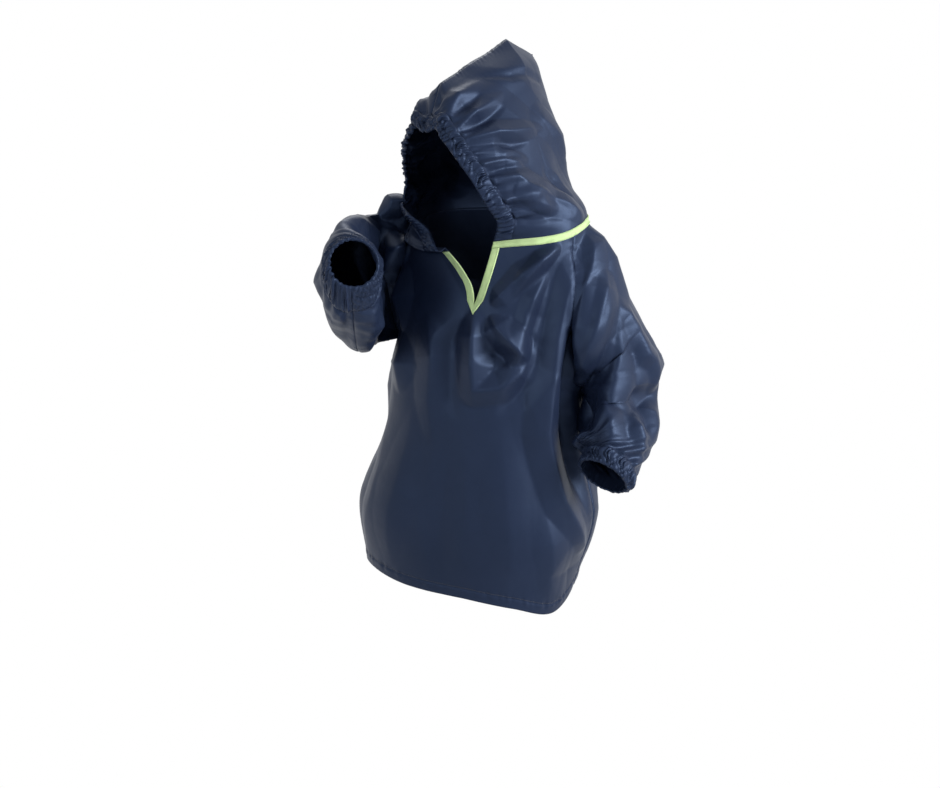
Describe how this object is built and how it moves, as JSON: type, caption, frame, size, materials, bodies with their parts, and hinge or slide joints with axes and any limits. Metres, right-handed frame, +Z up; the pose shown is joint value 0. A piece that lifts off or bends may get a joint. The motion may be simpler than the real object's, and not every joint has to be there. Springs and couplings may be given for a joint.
{
  "type": "child's hooded rain smock",
  "caption": "Pull-on hooded rain smock in coated cloth as worn: long raglan sleeves, elastic cuffs and hood edge, V slit with contrast binding.",
  "frame": {"origin": "between the wearer's shoulders, in the neckline, where the wearer's neck and shoulders hold the smock up", "axes": "+Z up, -Y the smock's front, +X the wearer's left"},
  "size_m": [0.421, 0.3724, 0.7331],
  "materials": {
    "rain_cloth": "satin",
    "bias_binding": "matte"
  },
  "bodies": {
    "root": {"front_panel": "rain_cloth", "back_panel": "rain_cloth", "sleeve_left": "rain_cloth", "sleeve_right": "rain_cloth", "hood_left": "rain_cloth", "hood_right": "rain_cloth", "hood_casing": "rain_cloth", "cuff_left": "rain_cloth", "cuff_right": "rain_cloth", "neck_binding": "bias_binding", "slit_binding": "bias_binding"}
  },
  "joints": []
}
